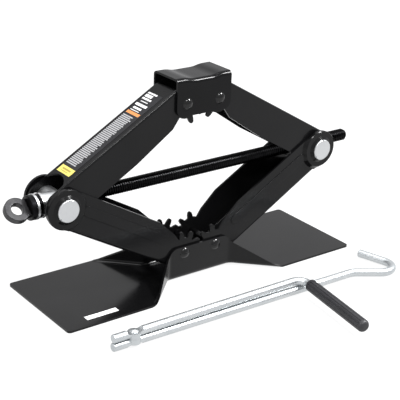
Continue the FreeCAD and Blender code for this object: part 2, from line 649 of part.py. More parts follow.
def thread_profile(start, end):
    """Half section of the screw: plain journal, then crests and roots at SCREW_PITCH."""
    crest = SCREW_RADIUS
    root = SCREW_RADIUS - THREAD_DEPTH
    flat = SCREW_PITCH / 6
    flank = SCREW_PITCH / 2 - flat
    points = [V(start, 0, 0), V(start, 0, crest)]
    x = -TRUNNION_X + JOURNAL_END
    while x + SCREW_PITCH < end - SCREW_POINT:
        points += [V(x, 0, crest), V(x + flank, 0, root), V(x + flank + flat, 0, root),
                   V(x + 2 * flank + flat, 0, crest)]
        x += SCREW_PITCH
    points += [V(end - SCREW_POINT, 0, crest), V(end, 0, root), V(end, 0, 0)]
    return points


def lead_screw():
    start = -TRUNNION_X - collar_face() - SOCKET_DEPTH
    points = thread_profile(start, TRUNNION_X + SCREW_TAIL)
    outline = Part.makePolygon(points + [points[0]])
    screw = Part.Face(outline).revolve(ORIGIN, X_AXIS, 360)
    groove_start = -TRUNNION_X + TRUNNION_RADIUS + RETAINER_GAP
    groove_end = groove_start + RETAINER_THICKNESS
    groove = x_cylinder(RETAINER_RADIUS, groove_start, groove_end)
    groove = groove.cut(x_cylinder(SCREW_RADIUS - RETAINER_GROOVE, groove_start, groove_end))
    screw = screw.cut(groove)
    screw.translate(V(0, 0, TRUNNION_Z))
    return screw.cut(cross_pin())


def race_stack():
    """Distances from the trunnion's axis to the faces of the thrust bearing, inside to outside."""
    inner_face = SLEEVE_END + RACE_THICKNESS
    outer_start = inner_face + 2 * BALL_RADIUS + BALL_FACE_GAP
    outer_face = outer_start + RACE_THICKNESS
    return inner_face, outer_start, outer_face


def collar_face():
    return race_stack()[2]


def ring_on_screw(inner, outer, near, far):
    """Ring round the screw between two distances outboard of the thrust trunnion's axis."""
    ring = x_cylinder(outer, -TRUNNION_X - far, -TRUNNION_X - near, TRUNNION_Z)
    return ring.cut(x_cylinder(inner, -TRUNNION_X - far - 1, -TRUNNION_X - near + 1, TRUNNION_Z))


def ball_places():
    middle = -TRUNNION_X - race_stack()[0] - BALL_RADIUS
    places = []
    for index in range(BALL_COUNT):
        angle = 2 * math.pi * index / BALL_COUNT
        y = BALL_CIRCLE * math.cos(angle)
        places.append(V(middle, y, TRUNNION_Z + BALL_CIRCLE * math.sin(angle)))
    return places


def thrust_bearing():
    inner_face, outer_start, outer_face = race_stack()
    sleeve = ring_on_screw(JOURNAL_BORE, SLEEVE_RADIUS, 0.0, SLEEVE_END)
    sleeve = sleeve.cut(y_cylinder(TRUNNION_RADIUS, FAR, x=-TRUNNION_X, z=TRUNNION_Z))
    cage_near = inner_face + CAGE_FACE_GAP
    cage_far = outer_start - CAGE_FACE_GAP
    cage = ring_on_screw(JOURNAL_BORE, CAGE_RADIUS, cage_near, cage_far)
    balls = []
    for place in ball_places():
        balls.append(Part.makeSphere(BALL_RADIUS, place))
        pocket_start = place - X_AXIS * (2 * BALL_RADIUS)
        cage = cage.cut(Part.makeCylinder(BALL_RADIUS + BALL_PLAY, 4 * BALL_RADIUS, pocket_start, X_AXIS))
    return {
        "thrust_sleeve": sleeve,
        "inner_race": ring_on_screw(JOURNAL_BORE, RACE_RADIUS, SLEEVE_END, inner_face),
        "bearing_cage": cage,
        "bearing_balls": Part.makeCompound(balls),
        "outer_race": ring_on_screw(SCREW_RADIUS, RACE_RADIUS, outer_start, outer_face),
    }


def cross_pin():
    """Pin that locks the drive eye to the screw."""
    pin = y_cylinder(CROSS_PIN_RADIUS, COLLAR_RADIUS)
    pin.rotate(ORIGIN, X_AXIS, EYE_TURN)
    pin.translate(V(-TRUNNION_X - collar_face() - SOCKET_DEPTH / 2, 0, TRUNNION_Z))
    return pin


def drive_eye():
    """Forged eye: a thick collar on the screw, a neck, and a flat ring."""
    near = collar_face()
    far = near + COLLAR_THICKNESS
    reach = far + EYE_STAND_OFF
    collar = x_cylinder(COLLAR_RADIUS, -far, -near)
    collar = collar.makeFillet(EYE_EDGE_ROUND, collar.Edges[0:1] + collar.Edges[2:3])
    half = EYE_THICKNESS / 2
    ring = y_cylinder(EYE_RADIUS, half, x=-reach)
    neck = Part.makeBox(reach - near, EYE_THICKNESS, EYE_NECK_WIDTH,
                        V(-reach, -half, -EYE_NECK_WIDTH / 2))
    plate = ring.fuse(neck).removeSplitter()
    plate = plate.cut(x_cylinder(FAR, -near - SOCKET_DEPTH, FAR))
    plate = plate.cut(y_cylinder(EYE_HOLE_RADIUS, FAR, x=-reach))
    eye = plate.fuse(collar).removeSplitter()
    rims = [e for e in eye.Edges
            if e.BoundBox.YLength < 1e-6 and e.BoundBox.XMin < -reach - EYE_HOLE_RADIUS / 2
            and abs(abs(e.BoundBox.YMin) - half) < 1e-6]
    eye = eye.makeFillet(EYE_EDGE_ROUND, rims)
    eye = eye.cut(x_cylinder(SCREW_RADIUS, -near - SOCKET_DEPTH, -near))
    eye.rotate(ORIGIN, X_AXIS, EYE_TURN)
    eye.translate(V(-TRUNNION_X, 0, TRUNNION_Z))
    return eye.cut(cross_pin())


def retaining_ring():
    near = -TRUNNION_RADIUS - RETAINER_GAP
    far = near - RETAINER_THICKNESS
    return ring_on_screw(SCREW_RADIUS - RETAINER_GROOVE, RETAINER_RADIUS, far, near)


def screw_group():
    made = {
        "thrust_trunnion": trunnion(-TRUNNION_X, JOURNAL_BORE),
        "nut_trunnion": trunnion(TRUNNION_X, SCREW_RADIUS + THREAD_CLEARANCE),
        "lead_screw": lead_screw(),
        "drive_eye": drive_eye(),
        "eye_cross_pin": cross_pin(),
        "retaining_ring": retaining_ring(),
    }
    made.update(thrust_bearing())
    return made


# ---- crank ---------------------------------------------------------------------------------------
def rod(corners, radii, z):
    """Round bar bent through corners, with slightly rounded ends."""
    edges = rounded_path([c + Z_AXIS * z for c in corners], radii, closed=False)
    start = edges[0].valueAt(edges[0].FirstParameter)
    tangent = edges[0].tangentAt(edges[0].FirstParameter)
    section = Part.Wire(Part.makeCircle(ROD_RADIUS, start, tangent))
    bar = Part.Wire(edges).makePipeShell([section], True, True)
    rims = [e for e in bar.Edges if e.Curve.TypeId == "Part::GeomCircle" and len(e.Vertexes) == 1
            and is_end_rim(e, edges)]
    return bar.makeFillet(ROD_END_ROUND, rims)


def is_end_rim(edge, path_edges):
    """True for the circle round either end face of a bent bar."""
    centre = edge.Curve.Center
    first = path_edges[0].valueAt(path_edges[0].FirstParameter)
    last = path_edges[-1].valueAt(path_edges[-1].LastParameter)
    return centre.distanceToPoint(first) < 1e-4 or centre.distanceToPoint(last) < 1e-4


def hook_corners():
    along = heading(HOOK_ROD_ANGLE)
    bend = CRANK_PIVOT + along * HOOK_STRAIGHT
    crown = bend + heading(HOOK_SLOPE) * HOOK_REACH
    return [CRANK_PIVOT - along * ROD_STUB, bend, crown, crown + heading(HOOK_RETURN) * HOOK_TIP]


def crank_corners():
    along = heading(CRANK_ARM_ANGLE)
    bend = CRANK_PIVOT + along * CRANK_THROW
    inside_grip = GRIP_START + GRIP_LENGTH - GRIP_END_WALL - GRIP_END_PLAY
    return [CRANK_PIVOT - along * ROD_STUB, bend, bend + heading(GRIP_DIRECTION) * inside_grip]


def flatten(bar, angle, low, high):
    """Press a bar into a flat pad at the pivot, between two heights."""
    press = Part.makeBox(PAD_FLAT_LENGTH, 4 * ROD_RADIUS, FAR,
                         V(-PAD_FLAT_LENGTH / 2, -2 * ROD_RADIUS, 0))
    shoulders = [e for e in press.Edges if e.BoundBox.YLength > ROD_RADIUS and e.BoundBox.ZMax < 1e-6]
    press = press.makeFillet(PAD_SHOULDER_RADIUS, shoulders)
    press.rotate(ORIGIN, Z_AXIS, angle)
    above = press.copy()
    above.translate(CRANK_PIVOT + Z_AXIS * high)
    below = press.mirror(ORIGIN, Z_AXIS)
    below.translate(CRANK_PIVOT + Z_AXIS * low)
    bar = bar.cut([above, below])
    pad = Part.makeCylinder(PAD_RADIUS, high - low, CRANK_PIVOT + Z_AXIS * low, Z_AXIS)
    return bar.fuse(pad).removeSplitter()


def pad_heights():
    """Bottom and top of the lower pad, then of the upper pad."""
    lower = (ROD_PARTING - PAD_PLAY / 2 - PAD_THICKNESS, ROD_PARTING - PAD_PLAY / 2)
    upper = (ROD_PARTING + PAD_PLAY / 2, ROD_PARTING + PAD_PLAY / 2 + PAD_THICKNESS)
    return lower, upper


def crank_rivet():
    lower, upper = pad_heights()
    middle = CRANK_PIVOT + Z_AXIS * ((lower[0] + upper[1] + PAD_PLAY) / 2)
    half_grip = (upper[1] + PAD_PLAY - lower[0]) / 2
    return through_rivet(CRANK_RIVET_RADIUS, CRANK_RIVET_HEAD_LIP, CRANK_RIVET_HEAD_HEIGHT,
                         half_grip, middle, Z_AXIS)


def grip():
    """Fluted sleeve that turns on the end of the crank."""
    sleeve = Part.makeCylinder(GRIP_RADIUS, GRIP_LENGTH)
    ends = [e for e in sleeve.Edges if e.BoundBox.ZLength < 1e-6]
    tip = [e for e in ends if e.BoundBox.ZMin > GRIP_LENGTH / 2]
    mouth = [e for e in ends if e.BoundBox.ZMin < GRIP_LENGTH / 2]
    sleeve = sleeve.makeFillet(GRIP_TIP_ROUND, tip)
    sleeve = sleeve.makeFillet(GRIP_MOUTH_ROUND, mouth)
    flute_circle = GRIP_RADIUS + FLUTE_RADIUS - FLUTE_DEPTH
    flute_length = GRIP_LENGTH - FLUTE_END_GAP - GRIP_TIP_ROUND
    for index in range(GRIP_FLUTES):
        angle = 2 * math.pi * index / GRIP_FLUTES
        place = V(flute_circle * math.cos(angle), flute_circle * math.sin(angle), FLUTE_END_GAP)
        flute = Part.makeCylinder(FLUTE_RADIUS, flute_length, place)
        sleeve = sleeve.cut(flute)
    bore = Part.makeCylinder(ROD_RADIUS + RUNNING, GRIP_LENGTH - GRIP_END_WALL)
    sleeve = sleeve.cut(bore)
    sleeve.rotate(ORIGIN, Y_AXIS, 90)
    sleeve.rotate(ORIGIN, Z_AXIS, GRIP_DIRECTION)
    bend = crank_corners()[1]
    sleeve.translate(bend + heading(GRIP_DIRECTION) * GRIP_START + Z_AXIS * UPPER_ROD_Z)
    return sleeve


def crank_group():
    lower, upper = pad_heights()
    hook = rod(hook_corners(), [0, HOOK_BEND_RADIUS, HOOK_CROWN_RADIUS, 0], ROD_RADIUS)
    hook = flatten(hook, HOOK_ROD_ANGLE, *lower)
    arm = rod(crank_corners(), [0, CRANK_BEND_RADIUS, 0], UPPER_ROD_Z)
    arm = flatten(arm, CRANK_ARM_ANGLE, *upper)
    below = CRANK_PIVOT - Z_AXIS * FAR / 2
    hole = Part.makeCylinder(CRANK_RIVET_RADIUS, FAR, below, Z_AXIS)
    running_hole = Part.makeCylinder(CRANK_RIVET_RADIUS + RUNNING, FAR, below, Z_AXIS)
    return {
        "hook_rod": hook.cut(hole),
        "crank_arm": arm.cut(running_hole),
        "crank_rivet": crank_rivet(),
        "grip_sleeve": grip(),
    }


# ---- stickers ------------------------------------------------------------------------------------
def labels():
    label_length = ARM_LENGTH - ARM_LABEL_START - ARM_LABEL_END_GAP
    corner = V(ARM_LABEL_START - ARM_LENGTH, -ARM_LABEL_WIDTH / 2, WEB_OFFSET)
    arm_label = Part.makeBox(label_length, ARM_LABEL_WIDTH, LABEL_THICKNESS, corner)
    corner = V(BASE_LABEL_END_GAP - BASE_LENGTH / 2, BASE_LABEL_EDGE_GAP - BASE_WIDTH / 2, SHEET)
    base_label = Part.makeBox(BASE_LABEL_LENGTH, BASE_LABEL_WIDTH, LABEL_THICKNESS, corner)
    return {"arm_label": swing(arm_label, -REST_FOLD, SADDLE_PIN_Z), "base_label": base_label}


def main():
    nodes = {"base_plate": base_plate(), "saddle": saddle()}
    for group in (arms(), rivets(), screw_group(), crank_group(), labels()):
        nodes.update(group)
    os.makedirs("parts", exist_ok=True)
    for name, shape in nodes.items():
        shape.exportStep(os.path.join("parts", name + ".step"))
        print(name, "solids", len(shape.Solids), "volume %.1f" % shape.Volume, "valid", shape.isValid())


main()
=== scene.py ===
# %% [markdown]
# A scissor stabilizer jack and the crank that drives it.  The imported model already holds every
# part at its real size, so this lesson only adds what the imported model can't hold: the true
# helix of the lead screw, the printed stickers, the finishes, the camera and the studio.
# The first lines load the parts.  Everything is in metres, with the ground at z = 0.

# %% Load the jack
import json
import math

import bmesh
import bpy
from mathutils import Matrix, Vector


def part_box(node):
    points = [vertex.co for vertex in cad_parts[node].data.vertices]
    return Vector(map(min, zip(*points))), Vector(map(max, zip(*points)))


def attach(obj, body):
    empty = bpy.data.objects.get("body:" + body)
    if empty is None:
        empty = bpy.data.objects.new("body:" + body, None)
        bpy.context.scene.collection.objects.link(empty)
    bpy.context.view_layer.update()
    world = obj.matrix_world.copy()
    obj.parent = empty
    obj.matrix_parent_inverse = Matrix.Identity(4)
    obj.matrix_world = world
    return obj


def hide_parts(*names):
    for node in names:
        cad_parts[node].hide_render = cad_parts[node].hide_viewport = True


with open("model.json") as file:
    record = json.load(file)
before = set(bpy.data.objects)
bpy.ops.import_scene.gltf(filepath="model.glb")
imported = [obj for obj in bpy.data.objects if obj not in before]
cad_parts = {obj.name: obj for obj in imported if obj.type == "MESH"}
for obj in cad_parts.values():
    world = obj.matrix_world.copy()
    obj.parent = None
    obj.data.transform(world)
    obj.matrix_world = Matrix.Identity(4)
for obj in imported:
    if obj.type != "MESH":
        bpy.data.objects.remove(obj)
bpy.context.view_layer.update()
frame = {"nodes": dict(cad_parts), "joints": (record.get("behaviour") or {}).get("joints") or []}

MM = 0.001
X_AXIS = Vector((1, 0, 0))
Y_AXIS = Vector((0, 1, 0))
pivots = {j["name"]: Vector(j["pos_m"]) for j in frame["joints"] if "pos_m" in j}
thrust_end = pivots["upper_left_fold"]
saddle_pin = pivots["saddle_level"]

# %% [markdown]
# The camera stands in front of the drive end, a little above the jack, and looks along a line
# that runs back and to the right.  A long lens keeps the perspective mild.  The turns are given
# as a yaw from the +Y axis, a pitch below the horizon and a small roll.

# %% Camera
CAMERA_PLACE = Vector((-0.7329, -0.9737, 0.5952))
CAMERA_YAW = math.radians(37.59)
CAMERA_PITCH = math.radians(22.73)
CAMERA_ROLL = math.radians(2.2)
LENS_MM = 102.2
SENSOR_MM = 36.0

camera_data = bpy.data.cameras.new("camera")
camera_data.lens = LENS_MM
camera_data.sensor_width = SENSOR_MM
camera = bpy.data.objects.new("camera", camera_data)
turn = Matrix.Rotation(-CAMERA_YAW, 4, "Z")
tilt = Matrix.Rotation(math.pi / 2 - CAMERA_PITCH, 4, "X")
roll = Matrix.Rotation(CAMERA_ROLL, 4, "Z")
camera.matrix_world = Matrix.Translation(CAMERA_PLACE) @ turn @ tilt @ roll
bpy.context.scene.collection.objects.link(camera)
bpy.context.scene.camera = camera
print("camera with a lens of", LENS_MM, "mm")

# %% [markdown]
# Every material below is a Principled BSDF with a few noise textures round it.  These helpers
# make the shader, add a node, and join two sockets, so that each finish reads as a short list
# of what differs from one metal or plastic to the next.

# %% Material helpers
def new_material(name):
    """Node material and its Principled shader."""
    material = bpy.data.materials.new(name)
    material.use_nodes = True
    return material, material.node_tree.nodes["Principled BSDF"]


def add_node(material, kind, inputs=(), **settings):
    """New node with its settings, and its input values as (socket, value) pairs."""
    node = material.node_tree.nodes.new(kind)
    for name, value in settings.items():
        setattr(node, name, value)
    for socket, value in inputs:
        node.inputs[socket].default_value = value
    return node


def join(material, source, output, target, entry):
    material.node_tree.links.new(source.outputs[output], target.inputs[entry])


def noise(material, scale, detail=3.0, stretch=(1, 1, 1)):
    """Noise on the part's own coordinates, in cycles per metre, with a factor for each axis."""
    place = add_node(material, "ShaderNodeTexCoord")
    mapping = add_node(material, "ShaderNodeMapping", [("Scale", stretch)])
    texture = add_node(material, "ShaderNodeTexNoise", [("Scale", scale), ("Detail", detail)])
    join(material, place, "Object", mapping, "Vector")
    join(material, mapping, "Vector", texture, "Vector")
    return texture


NOISE_LOW = 0.3     # nearly all of a noise texture's values lie between these two
NOISE_HIGH = 0.7


def vary(material, texture, shader, entry, low, high):
    """Drive one number of the shader from a texture."""
    limits = [("From Min", NOISE_LOW), ("From Max", NOISE_HIGH), ("To Min", low), ("To Max", high)]
    spread = add_node(material, "ShaderNodeMapRange", limits)
    join(material, texture, 0, spread, "Value")
    join(material, spread, "Result", shader, entry)


def tint(material, texture, shader, dark, light):
    """Blend the base colour between two close shades."""
    ramp = add_node(material, "ShaderNodeValToRGB")
    for element, position, colour in zip(ramp.color_ramp.elements, (NOISE_LOW, NOISE_HIGH), (dark, light)):
        element.position = position
        element.color = (*colour, 1)
    join(material, texture, 0, ramp, "Fac")
    join(material, ramp, "Color", shader, "Base Color")


def bump(material, texture, shader, strength, depth):
    """Raise and lower the surface by depth metres."""
    node = add_node(material, "ShaderNodeBump", [("Strength", strength), ("Distance", depth)])
    join(material, texture, 0, node, "Height")
    join(material, node, "Normal", shader, "Normal")


print("material helpers ready")

# %% [markdown]
# The pressed parts are dipped in black paint and baked.  Such a coat is a dark dielectric: what
# shows is nearly all reflection, softened by a fine orange peel.  A base colour near black, a
# low roughness that drifts a little, and a very shallow bump give that look.  The index of
# refraction sets how strongly each part mirrors the studio.

# %% Black baked paint
SHADE_DRIFT = 0.2
ORANGE_PEEL_SCALE = 900.0
ORANGE_PEEL_DEPTH = 0.02 * MM


def baked_paint(name, shade, roughness, ior):
    material, shader = new_material(name)
    dark = [c * (1 - SHADE_DRIFT) for c in shade]
    light = [c * (1 + SHADE_DRIFT) for c in shade]
    tint(material, noise(material, 14.0), shader, dark, light)
    cloud = noise(material, 35.0, detail=4.0)
    vary(material, cloud, shader, "Roughness", roughness - 0.03, roughness + 0.04)
    peel = noise(material, ORANGE_PEEL_SCALE, detail=2.0)
    bump(material, peel, shader, 0.2, ORANGE_PEEL_DEPTH)
    shader.inputs["IOR"].default_value = ior
    return material


arm_paint = baked_paint("black_arm_paint", (0.004, 0.004, 0.0043), 0.17, 1.25)
base_paint = baked_paint("black_base_paint", (0.004, 0.004, 0.0043), 0.17, 1.30)
saddle_paint = baked_paint("black_saddle_paint", (0.003, 0.003, 0.0033), 0.17, 1.21)
rivet_paint = baked_paint("black_rivet_paint", (0.002, 0.002, 0.0022), 0.12, 1.4)
print("four black paints")

# %% [markdown]
# The crank's rods, the cross bars and the bearing's outer ring are zinc plated.  Zinc is a pale,
# slightly blue metal, and the plating makes its roughness cloudy.  The bearing's inner parts are
# ground steel, which is brighter and smoother, with faint grinding marks round the screw.

# %% Zinc plate
PLATE_GRAIN_DEPTH = 0.02 * MM


def bright_metal(name, dark, light, low, high, stretch=(1, 1, 1)):
    material, shader = new_material(name)
    shader.inputs["Metallic"].default_value = 1.0
    tint(material, noise(material, 40.0, detail=4.0), shader, dark, light)
    vary(material, noise(material, 120.0, detail=5.0), shader, "Roughness", low, high)
    grain = noise(material, 1500.0, detail=2.0, stretch=stretch)
    bump(material, grain, shader, 0.2, PLATE_GRAIN_DEPTH)
    return material


rod_zinc = bright_metal("zinc_rod", (0.47, 0.495, 0.51), (0.53, 0.55, 0.56), 0.38, 0.45)
bar_zinc = bright_metal("zinc_cross_bar", (0.50, 0.51, 0.52), (0.54, 0.55, 0.56), 0.36, 0.46)
race_steel = bright_metal("ground_steel", (0.66, 0.67, 0.68), (0.74, 0.74, 0.75), 0.18, 0.28,
                          stretch=(1, 0.1, 0.1))
print("zinc and ground steel")

# %% [markdown]
# The screw and the forged eye are blackened steel.  The eye keeps the dull grey skin of the
# forging, and the screw is smoother because its thread was rolled and oiled.  The eye's collar
# runs against the bearing and is oiled black, so the colour changes at a place along the screw.

# %% Blackened steel
def black_steel(name, dark, light, low, high, bump_scale, bump_depth):
    material, shader = new_material(name)
    shader.inputs["Metallic"].default_value = 1.0
    tint(material, noise(material, 60.0, detail=5.0), shader, dark, light)
    vary(material, noise(material, 200.0, detail=4.0), shader, "Roughness", low, high)
    bump(material, noise(material, bump_scale, detail=3.0), shader, 0.4, bump_depth)
    return material


OIL_BLACK = (0.008, 0.008, 0.009)
screw_steel = black_steel("oiled_screw_steel", (0.006, 0.006, 0.0065), (0.011, 0.011, 0.0115),
                          0.20, 0.30, 900.0, 0.02 * MM)
eye_steel = black_steel("forged_eye_steel", (0.035, 0.035, 0.037), (0.055, 0.055, 0.057),
                        0.34, 0.46, 500.0, 0.05 * MM)
bearing_black = black_steel("black_bearing_steel", OIL_BLACK, (0.014, 0.014, 0.015),
                            0.18, 0.28, 900.0, 0.02 * MM)


def darken_beyond(material, place, shade):
    """Swap the base colour for a darker one past a place on the X axis."""
    shader = material.node_tree.nodes["Principled BSDF"]
    paint = shader.inputs["Base Color"].links[0].from_node
    coordinates = add_node(material, "ShaderNodeTexCoord")
    split = add_node(material, "ShaderNodeSeparateXYZ")
    past = add_node(material, "ShaderNodeMath", [(1, place)], operation="GREATER_THAN")
    mix = add_node(material, "ShaderNodeMixRGB", [("Color2", (*shade, 1))])
    join(material, coordinates, "Object", split, "Vector")
    join(material, split, "X", past, 0)
    join(material, past, 0, mix, "Fac")
    join(material, paint, "Color", mix, "Color1")
    join(material, mix, "Color", shader, "Base Color")


COLLAR_LENGTH = 7.0 * MM
eye_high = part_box("drive_eye")[1]
darken_beyond(eye_steel, eye_high.x - COLLAR_LENGTH, OIL_BLACK)
print("blackened steels")

# %% [markdown]
# The grip is a moulded sleeve with lengthwise flutes.  Its plastic is a dark grey with a fine
# leathery grain that scatters the light.

# %% Grip plastic
grip_plastic, shader = new_material("grip_plastic")
tint(grip_plastic, noise(grip_plastic, 50.0), shader, (0.009, 0.009, 0.011), (0.014, 0.014, 0.017))
vary(grip_plastic, noise(grip_plastic, 300.0), shader, "Roughness", 0.42, 0.55)
bump(grip_plastic, noise(grip_plastic, 1200.0, detail=4.0), shader, 0.35, 0.05 * MM)
print("grip plastic")

# %% [markdown]
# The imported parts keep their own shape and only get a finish.  One table says which finish goes
# on which part.

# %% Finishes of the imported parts
FINISHES = {
    "base_plate": base_paint,
    "saddle": saddle_paint,
    "lower_left_arm": arm_paint,
    "lower_right_arm": arm_paint,
    "upper_left_arm": arm_paint,
    "upper_right_arm": arm_paint,
    "base_rivet_left": rivet_paint,
    "base_rivet_right": rivet_paint,
    "saddle_rivet_left": rivet_paint,
    "saddle_rivet_right": rivet_paint,
    "thrust_trunnion": bar_zinc,
    "nut_trunnion": bar_zinc,
    "drive_eye": eye_steel,
    "eye_cross_pin": eye_steel,
    "retaining_ring": bearing_black,
    "outer_race": bar_zinc,
    "bearing_cage": bearing_black,
    "thrust_sleeve": bar_zinc,
    "inner_race": race_steel,
    "bearing_balls": race_steel,
    "hook_rod": rod_zinc,
    "crank_arm": rod_zinc,
    "crank_rivet": rod_zinc,
    "grip_sleeve": grip_plastic,
}
for name, material in FINISHES.items():
    slots = frame["nodes"][name].data.materials
    slots.clear()
    slots.append(material)
print("finished", len(FINISHES), "packed parts")

# %% [markdown]
# A screw thread is one tooth that winds along the bar.  The tooth's outline, one pitch long, is
# drawn once and spun about the screw's axis while it advances one pitch in each turn.  The last
# point of each turn lands on the first point of the next, so merging them closes the surface.
# Two flat cuts trim the ragged ends.

# %% Lead screw with a true helix
SCREW_RADIUS = 7.5 * MM
THREAD_PITCH = 3.0 * MM
THREAD_DEPTH = 1.3 * MM
CREST_FLAT = 0.5 * MM
ROOT_RADIUS = SCREW_RADIUS - THREAD_DEPTH
STEPS_PER_TURN = 24
JOURNAL_REACH = 17.0 * MM       # the thread starts this far past the cross bar's axis
TAIL_CHAMFER = 2.0 * MM
TAIL_TAPER = 0.9
RUN_OUT = 1.0 * MM
TAIL_LAP = 0.5 * MM
THREAD_MERGE = 0.01 * MM
AXIS_MERGE = 0.001 * MM


def finish_mesh(bm, name, material, sharp_degrees=35.0):
    """Recalculate normals, shade smooth up to an angle, and link the object."""
    bmesh.ops.recalc_face_normals(bm, faces=bm.faces)
    for face in bm.faces:
        face.smooth = True
    mesh = bpy.data.meshes.new(name)
    bm.to_mesh(mesh)
    bm.free()
    mesh.set_sharp_from_angle(angle=math.radians(sharp_degrees))
    mesh.materials.append(material)
    piece = bpy.data.objects.new(name, mesh)
    bpy.context.scene.collection.objects.link(piece)
    return piece


def chain(bm, points):
    """Vertices joined in a row by edges."""
    verts = [bm.verts.new(p) for p in points]
    edges = [bm.edges.new(pair) for pair in zip(verts, verts[1:])]
    return verts + edges


def threaded_length(start, end):
    """Helical tube between two places on the X axis, about that axis."""
    bm = bmesh.new()
    flank = THREAD_PITCH / 2 - CREST_FLAT
    first = start - THREAD_PITCH
    stations = (0, CREST_FLAT, CREST_FLAT + flank, 2 * CREST_FLAT + flank, THREAD_PITCH)
    heights = (SCREW_RADIUS, SCREW_RADIUS, ROOT_RADIUS, ROOT_RADIUS, SCREW_RADIUS)
    tooth = chain(bm, [(first + x, 0, z) for x, z in zip(stations, heights)])
    turns = math.ceil((end - first) / THREAD_PITCH) + 1
    bmesh.ops.spin(bm, geom=tooth, cent=(0, 0, 0), axis=X_AXIS, angle=2 * math.pi * turns,
                   steps=STEPS_PER_TURN * turns, dvec=(THREAD_PITCH / STEPS_PER_TURN, 0, 0))
    bmesh.ops.remove_doubles(bm, verts=bm.verts, dist=THREAD_MERGE)
    for place, side in ((start, -1), (end, 1)):
        everything = bm.verts[:] + bm.edges[:] + bm.faces[:]
        bmesh.ops.bisect_plane(bm, geom=everything, plane_co=(place, 0, 0), plane_no=(side, 0, 0),
                               clear_outer=True)
    rims = [e for e in bm.edges if e.is_boundary]
    bmesh.ops.holes_fill(bm, edges=rims, sides=0)
    return bm


def turned(bm, profile):
    """Closed solid of revolution about the X axis, from (x, radius) points."""
    points = chain(bm, [(x, 0, radius) for x, radius in profile])
    bmesh.ops.spin(bm, geom=points, cent=(0, 0, 0), axis=X_AXIS, angle=2 * math.pi,
                   steps=2 * STEPS_PER_TURN, use_merge=True)
    bmesh.ops.remove_doubles(bm, verts=bm.verts, dist=AXIS_MERGE)


screw_low, screw_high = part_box("lead_screw")
thread_start = thrust_end.x + JOURNAL_REACH
thread_end = screw_high.x - TAIL_CHAMFER
bm = threaded_length(thread_start, thread_end)
turned(bm, [(screw_low.x, 0), (screw_low.x, SCREW_RADIUS), (thread_start, SCREW_RADIUS),
            (thread_start + RUN_OUT, ROOT_RADIUS), (thread_start + RUN_OUT, 0)])
tail_start = thread_end - TAIL_LAP
turned(bm, [(tail_start, 0), (tail_start, ROOT_RADIUS), (screw_high.x, ROOT_RADIUS * TAIL_TAPER),
            (screw_high.x, 0)])
bmesh.ops.translate(bm, verts=bm.verts, vec=(0, 0, thrust_end.z))
lead_screw = finish_mesh(bm, "lead_screw_helix", screw_steel)
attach(lead_screw, "screw")
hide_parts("lead_screw")
print("lead screw,", len(lead_screw.data.polygons), "faces")

# %% [markdown]
# A sticker is a thin slab whose top face is cut into cells, one cell per printed patch, and each
# cell gets an ink.  Cutting the slab with planes keeps it one closed shell.  The print is
# generic: a yellow block, rows of unreadable fine print and a few plain bars.  Lengths on the
# arm's sticker are in millimetres from the cross bar, then across the arm from its middle.

# %% Sticker inks
def plain_ink(name, colour, roughness=0.45):
    material, shader = new_material(name)
    dark = [c * 0.92 for c in colour]
    tint(material, noise(material, 160.0, detail=4.0), shader, dark, colour)
    vary(material, noise(material, 400.0), shader, "Roughness", roughness - 0.05, roughness + 0.05)
    return material


FILM_IOR = 1.3
sticker_film = plain_ink("sticker_film", (0.014, 0.014, 0.016), 0.30)
sticker_film.node_tree.nodes["Principled BSDF"].inputs["IOR"].default_value = FILM_IOR
white_ink = plain_ink("white_ink", (0.82, 0.82, 0.82))
grey_ink = plain_ink("grey_ink", (0.34, 0.34, 0.35))
orange_ink = plain_ink("orange_ink", (0.60, 0.22, 0.06))
yellow_ink = plain_ink("yellow_ink", (0.66, 0.55, 0.12))
brown_ink = plain_ink("brown_ink", (0.30, 0.23, 0.04))
print("six inks")

# %% Sticker maker
MICROMETRE = 6      # decimals of a metre


def cut_at(bm, place, normal):
    everything = bm.verts[:] + bm.edges[:] + bm.faces[:]
    bmesh.ops.bisect_plane(bm, geom=everything, plane_co=place, plane_no=normal)


def sticker(name, low, high, patches, inks, film, to_place):
    """Slab from low to high whose top is cut along the edges of its patches.

    A patch is (x0, x1, y0, y1, ink number), in metres on the flat sticker, and the first patch
    that holds a cell inks it."""
    bm = bmesh.new()
    bmesh.ops.create_cube(bm, size=1.0)
    size = Vector(high) - Vector(low)
    bmesh.ops.scale(bm, vec=size, verts=bm.verts)
    bmesh.ops.translate(bm, vec=(Vector(low) + Vector(high)) / 2, verts=bm.verts)
    for x in sorted({round(v, MICROMETRE) for p in patches for v in p[:2]}):
        if low[0] < x < high[0]:
            cut_at(bm, (x, 0, 0), X_AXIS)
    for y in sorted({round(v, MICROMETRE) for p in patches for v in p[2:4]}):
        if low[1] < y < high[1]:
            cut_at(bm, (0, y, 0), Y_AXIS)
    for face in bm.faces:
        centre = face.calc_center_median()
        if face.normal.z > 0.5:
            for x0, x1, y0, y1, ink in patches:
                if x0 < centre.x < x1 and y0 < centre.y < y1:
                    face.material_index = ink
                    break
    bmesh.ops.transform(bm, matrix=to_place, verts=bm.verts)
    piece = finish_mesh(bm, name, film)
    for ink in inks:
        piece.data.materials.append(ink)
    return piece


print("sticker maker ready")

# %% Sticker on the upper left arm
along = (saddle_pin - thrust_end).normalized()
outward = along.cross(Y_AXIS)
arm_matrix = Matrix.Translation(thrust_end) @ Matrix((along, Y_AXIS, outward)).transposed().to_4x4()
arm_label_points = [arm_matrix.inverted() @ v.co for v in frame["nodes"]["arm_label"].data.vertices]
label_low = [min(p[i] for p in arm_label_points) for i in range(3)]
label_high = [max(p[i] for p in arm_label_points) for i in range(3)]
FILM, WHITE, GREY, ORANGE, YELLOW, BROWN = range(6)

